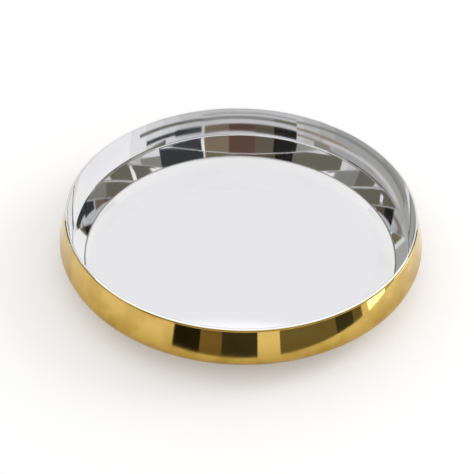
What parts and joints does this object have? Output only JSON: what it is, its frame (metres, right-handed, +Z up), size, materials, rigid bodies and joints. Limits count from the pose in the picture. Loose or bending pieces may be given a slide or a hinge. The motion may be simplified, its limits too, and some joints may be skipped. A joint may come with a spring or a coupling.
{
  "type": "thali plate",
  "caption": "Round double-walled dinner plate: polished steel dish with a soft knee in its wall and a rolled rim, set in a bellied brass shell with a recessed base.",
  "frame": {"origin": "centre of the circle on which the foot ring stands", "axes": "+Z up along the plate's axis of revolution, +X to the right and +Y away from the viewer"},
  "size_m": [0.3048, 0.3048, 0.0513],
  "materials": {
    "polished_steel": "mirror polish, a little softer on the floor",
    "polished_brass": "mirror polish",
    "bonding_compound": "dull, never seen"
  },
  "bodies": {
    "root": {"inner_dish": "polished_steel", "outer_shell": "polished_brass", "floor_bond": "bonding_compound"}
  },
  "joints": []
}
